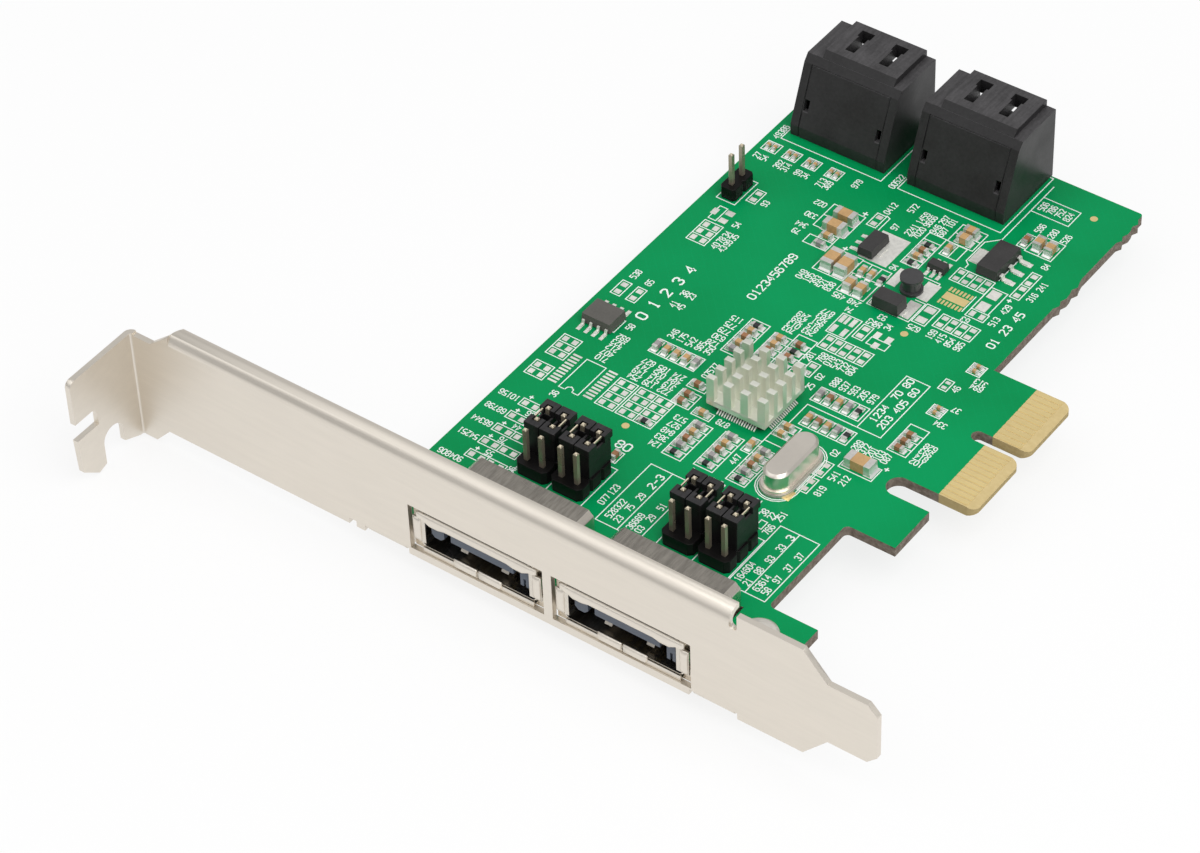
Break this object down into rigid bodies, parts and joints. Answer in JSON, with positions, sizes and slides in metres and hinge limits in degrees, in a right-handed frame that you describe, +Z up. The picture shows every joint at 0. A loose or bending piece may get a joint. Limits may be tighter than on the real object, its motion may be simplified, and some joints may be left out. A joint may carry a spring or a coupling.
{
  "type": "drive controller card",
  "caption": "Expansion card with a folded slot bracket, two external drive ports, stacked internal drive ports, jumper banks and a heatsink on its controller chip.",
  "frame": {"origin": "middle of the whole card's box, at its lowest point, which is the hook of the bracket's tab", "axes": "+X runs along the bracket from its tab to its tongue and out of the plug-in edge, +Y from the bracket's outer face towards the internal ports, +Z up from the solder side to the component side"},
  "size_m": [0.12, 0.1204, 0.0214],
  "materials": {
    "laminate": "green solder mask over glass laminate, satin",
    "gold": "gold plated, smooth",
    "bracket_steel": "satin nickel plate",
    "screw_steel": "nickel plated",
    "shell_steel": "rolled, nickel plated",
    "insulator_plastic": "blue-grey moulded",
    "housing_plastic": "black moulded, fine texture",
    "header_plastic": "black moulded",
    "shunt_plastic": "black moulded, open top",
    "pin_metal": "tin and gold plated",
    "chip_moulding": "black epoxy moulding",
    "tinned_lead": "tinned",
    "pad_rubber": "thermal pad",
    "heatsink_metal": "clear finish",
    "can_steel": "drawn, nickel plated",
    "ferrite_core": "dark ferrite",
    "pale_ceramic": "pale ceramic",
    "brown_ceramic": "brown ceramic",
    "resistor_film": "black film",
    "grey_ferrite": "grey ferrite"
  },
  "bodies": {
    "root": {"bracket": "bracket_steel", "bracket_screws": "screw_steel", "brown_capacitors": "brown_ceramic", "circuit_board": "laminate", "controller_chip": "chip_moulding", "controller_leads": "tinned_lead", "converter_chip": "chip_moulding", "converter_leads": "tinned_lead", "crystal_base": "chip_moulding", "crystal_can": "can_steel", "diode": "chip_moulding", "diode_ends": "tinned_lead", "edge_contacts": "gold", "esata_contacts_1": "gold", "esata_contacts_2": "gold", "esata_insulator_1": "insulator_plastic", "esata_insulator_2": "insulator_plastic", "esata_shell_1": "shell_steel", "esata_shell_2": "shell_steel", "ferrites": "grey_ferrite", "flash_chip": "chip_moulding", "flash_leads": "tinned_lead", "heatsink": "heatsink_metal", "inductor": "ferrite_core", "jumper_header_1": "header_plastic", "jumper_header_2": "header_plastic", "jumper_header_3": "header_plastic", "jumper_header_4": "header_plastic", "jumper_pins_1": "pin_metal", "jumper_pins_2": "pin_metal", "jumper_pins_3": "pin_metal", "jumper_pins_4": "pin_metal", "jumper_shunt_1": "shunt_plastic", "jumper_shunt_2": "shunt_plastic", "jumper_shunt_3": "shunt_plastic", "jumper_shunt_4": "shunt_plastic", "jumper_shunt_5": "shunt_plastic", "jumper_shunt_6": "shunt_plastic", "jumper_shunt_7": "shunt_plastic", "jumper_shunt_8": "shunt_plastic", "large_capacitors": "pale_ceramic", "pale_capacitors": "pale_ceramic", "pin_header_base": "header_plastic", "pin_header_pins": "pin_metal", "power_transistor": "chip_moulding", "power_transistor_leads": "tinned_lead", "regulator": "chip_moulding", "regulator_leads": "tinned_lead", "resistors": "resistor_film", "sata_contacts_1": "gold", "sata_contacts_2": "gold", "sata_cover_1": "housing_plastic", "sata_cover_2": "housing_plastic", "sata_housing_1": "housing_plastic", "sata_housing_2": "housing_plastic", "shunt_clips": "pin_metal", "thermal_pad": "pad_rubber"}
  },
  "joints": []
}
